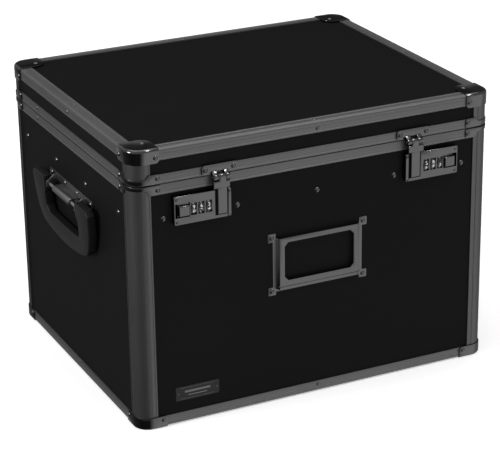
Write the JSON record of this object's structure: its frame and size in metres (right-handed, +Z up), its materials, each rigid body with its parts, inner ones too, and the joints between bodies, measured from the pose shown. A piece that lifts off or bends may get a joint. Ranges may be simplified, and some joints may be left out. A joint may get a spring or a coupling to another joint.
{
  "type": "lockable document box",
  "caption": "Black file chest with panels in ribbed metal edging, a hinged lid, two hasps with combination locks, side grips, a card holder and hanging-file rails.",
  "frame": {"origin": "centre of the casing's footprint on the surface it stands on", "axes": "+Z up; -Y out of the front with the locks; +X to the right of someone facing the front"},
  "size_m": [0.4584, 0.372, 0.3195],
  "materials": {
    "panel": "fine-grained matte laminate",
    "edging": "dark anodised, satin",
    "black_steel": "glossy black",
    "rivet_black": "glossy black",
    "name_metal": "satin black, blank",
    "plain_steel": "zinc plated",
    "bracket_steel": "bright plated",
    "dial_plastic": "gloss, pale numerals",
    "grip_plastic": "moulded, satin",
    "rail_plastic": "matte"
  },
  "bodies": {
    "case": {"body_front_panel": "panel", "body_back_panel": "panel", "body_left_panel": "panel", "body_right_panel": "panel", "body_bottom_panel": "panel", "body_corner_extrusions": "edging", "body_rim_extrusions": "edging", "base_edge_extrusions": "edging", "base_corner_caps": "black_steel", "body_corner_brackets": "black_steel", "body_rivets": "rivet_black", "card_holder": "black_steel", "name_plate": "name_metal", "lock_housing_left": "black_steel", "lock_housing_right": "black_steel", "lock_cover_left": "plain_steel", "lock_cover_right": "plain_steel", "dial_spindles": "plain_steel", "handle_bracket_left": "bracket_steel", "handle_bracket_right": "bracket_steel", "handle_rods": "plain_steel", "file_rails_front_back": "rail_plastic", "file_rails_sides": "rail_plastic", "rail_clips_front_back": "plain_steel", "rail_clips_sides": "plain_steel", "hinge_body_leaves": "black_steel", "hinge_pins": "plain_steel", "stay_studs_body": "plain_steel"},
    "lid": {"lid_top_panel": "panel", "lid_front_panel": "panel", "lid_back_panel": "panel", "lid_left_panel": "panel", "lid_right_panel": "panel", "lid_edge_extrusions": "edging", "lid_rim_extrusions": "edging", "lid_corner_extrusions": "edging", "lid_corner_caps": "black_steel", "lid_corner_brackets": "black_steel", "lid_rivets": "rivet_black", "hasp_plate_left": "black_steel", "hasp_plate_right": "black_steel", "hasp_pins": "plain_steel", "hinge_lid_leaves": "black_steel", "stay_studs_lid": "plain_steel"},
    "hasp_left": {"hasp_left": "black_steel"},
    "hasp_right": {"hasp_right": "black_steel"},
    "slider_left": {"lock_slider_left": "black_steel"},
    "slider_right": {"lock_slider_right": "black_steel"},
    "dial_left_inner": {"dial_left_inner": "dial_plastic"},
    "dial_left_middle": {"dial_left_middle": "dial_plastic"},
    "dial_left_outer": {"dial_left_outer": "dial_plastic"},
    "dial_right_inner": {"dial_right_inner": "dial_plastic"},
    "dial_right_middle": {"dial_right_middle": "dial_plastic"},
    "dial_right_outer": {"dial_right_outer": "dial_plastic"},
    "grip_left": {"handle_grip_left": "grip_plastic"},
    "grip_right": {"handle_grip_right": "grip_plastic"},
    "stay_lower_left": {"stay_lower_left": "plain_steel"},
    "stay_upper_left": {"stay_upper_left": "plain_steel"},
    "stay_lower_right": {"stay_lower_right": "plain_steel"},
    "stay_upper_right": {"stay_upper_right": "plain_steel"}
  },
  "joints": [
    {"name": "lid_hinge", "type": "hinge", "parent": "case", "child": "lid", "pos_m": [0, 0.1824, 0.2785], "axis": [-1, 0, 0], "range_deg": [0, 100]},
    {"name": "hasp_left_swing", "type": "hinge", "parent": "lid", "child": "hasp_left", "pos_m": [-0.116, -0.1823, 0.2768], "axis": [-1, 0, 0], "range_deg": [0, 120]},
    {"name": "hasp_right_swing", "type": "hinge", "parent": "lid", "child": "hasp_right", "pos_m": [0.116, -0.1823, 0.2768], "axis": [-1, 0, 0], "range_deg": [0, 120]},
    {"name": "slider_left_slide", "type": "slide", "parent": "case", "child": "slider_left", "axis": [-1, 0, 0], "range_m": [0, 0.0028], "stiffness_N_per_m": 150},
    {"name": "slider_right_slide", "type": "slide", "parent": "case", "child": "slider_right", "axis": [1, 0, 0], "range_m": [0, 0.0028], "stiffness_N_per_m": 150},
    {"name": "dial_left_inner_turn", "type": "hinge", "parent": "case", "child": "dial_left_inner", "pos_m": [-0.13075, -0.1767, 0.247], "axis": [1, 0, 0], "continuous": true},
    {"name": "dial_left_middle_turn", "type": "hinge", "parent": "case", "child": "dial_left_middle", "pos_m": [-0.1394, -0.1767, 0.247], "axis": [1, 0, 0], "continuous": true},
    {"name": "dial_left_outer_turn", "type": "hinge", "parent": "case", "child": "dial_left_outer", "pos_m": [-0.14805, -0.1767, 0.247], "axis": [1, 0, 0], "continuous": true},
    {"name": "dial_right_inner_turn", "type": "hinge", "parent": "case", "child": "dial_right_inner", "pos_m": [0.13075, -0.1767, 0.247], "axis": [1, 0, 0], "continuous": true},
    {"name": "dial_right_middle_turn", "type": "hinge", "parent": "case", "child": "dial_right_middle", "pos_m": [0.1394, -0.1767, 0.247], "axis": [1, 0, 0], "continuous": true},
    {"name": "dial_right_outer_turn", "type": "hinge", "parent": "case", "child": "dial_right_outer", "pos_m": [0.14805, -0.1767, 0.247], "axis": [1, 0, 0], "continuous": true},
    {"name": "grip_left_swing", "type": "hinge", "parent": "case", "child": "grip_left", "pos_m": [-0.2237, 0, 0.213], "axis": [0, 1, 0], "range_deg": [0, 95]},
    {"name": "grip_right_swing", "type": "hinge", "parent": "case", "child": "grip_right", "pos_m": [0.2237, 0, 0.213], "axis": [0, -1, 0], "range_deg": [0, 95]},
    {"name": "stay_lower_left_swing", "type": "hinge", "parent": "case", "child": "stay_lower_left", "pos_m": [-0.2044, 0.098, 0.2723], "axis": [-1, 0, 0], "range_deg": [0, 100]},
    {"name": "stay_upper_left_swing", "type": "hinge", "parent": "stay_lower_left", "child": "stay_upper_left", "pos_m": [-0.2026, 0.0136, 0.2785], "axis": [-1, 0, 0], "range_deg": [-100, 0]},
    {"name": "stay_lower_right_swing", "type": "hinge", "parent": "case", "child": "stay_lower_right", "pos_m": [0.2044, 0.098, 0.2723], "axis": [-1, 0, 0], "range_deg": [0, 100]},
    {"name": "stay_upper_right_swing", "type": "hinge", "parent": "stay_lower_right", "child": "stay_upper_right", "pos_m": [0.2026, 0.0136, 0.2785], "axis": [-1, 0, 0], "range_deg": [-100, 0]}
  ],
  "couplings": [
    {"joint": "stay_lower_left_swing", "follows": "lid_hinge", "ratio": 1},
    {"joint": "stay_upper_left_swing", "follows": "lid_hinge", "ratio": -1},
    {"joint": "stay_lower_right_swing", "follows": "lid_hinge", "ratio": 1},
    {"joint": "stay_upper_right_swing", "follows": "lid_hinge", "ratio": -1}
  ]
}
